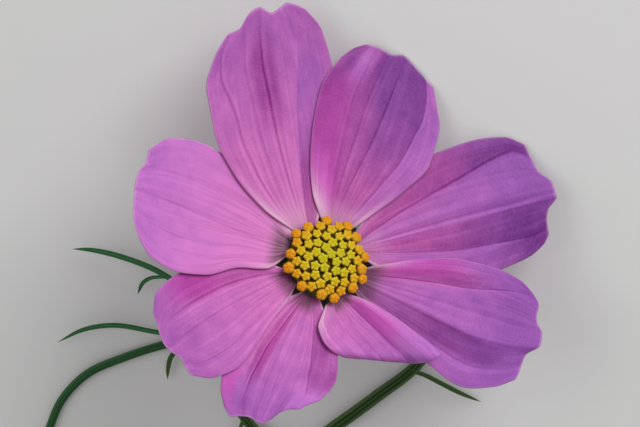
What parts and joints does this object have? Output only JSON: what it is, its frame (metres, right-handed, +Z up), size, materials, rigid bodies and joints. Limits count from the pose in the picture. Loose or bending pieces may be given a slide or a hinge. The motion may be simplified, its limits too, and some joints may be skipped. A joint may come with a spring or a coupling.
{
  "type": "cosmos flower",
  "caption": "Picked pink cosmos flower lying face up on its bent stem, with overlapping petals, a disc of closed florets, green bracts and thread-lobed leaves.",
  "frame": {"origin": "centre of the footprint, on the surface that the flower lies on", "axes": "+Z up, +Y from the bloom towards the cut end of the stem, +X to the right seen from the bloom's front"},
  "size_m": [0.0818, 0.1244, 0.0514],
  "materials": {
    "petal": "thin satiny petal, pink to violet, with fine lengthwise veins",
    "inner_floret": "waxy greenish-yellow closed florets",
    "outer_floret": "waxy orange closed florets",
    "bract": "smooth dark green bracts with paler edges",
    "stem": "ribbed green stem with a fresh cut end",
    "leaf": "dark green thread-like leaf lobes with a groove"
  },
  "bodies": {
    "root": {"petal_1": "petal", "petal_2": "petal", "petal_3": "petal", "petal_4": "petal", "petal_5": "petal", "petal_6": "petal", "petal_7": "petal", "petal_8": "petal", "disc_florets_inner": "inner_floret", "disc_florets_outer": "outer_floret", "inner_bracts": "bract", "outer_bracts": "bract", "stem": "stem", "leaf_right": "leaf", "leaf_left": "leaf"}
  },
  "joints": []
}
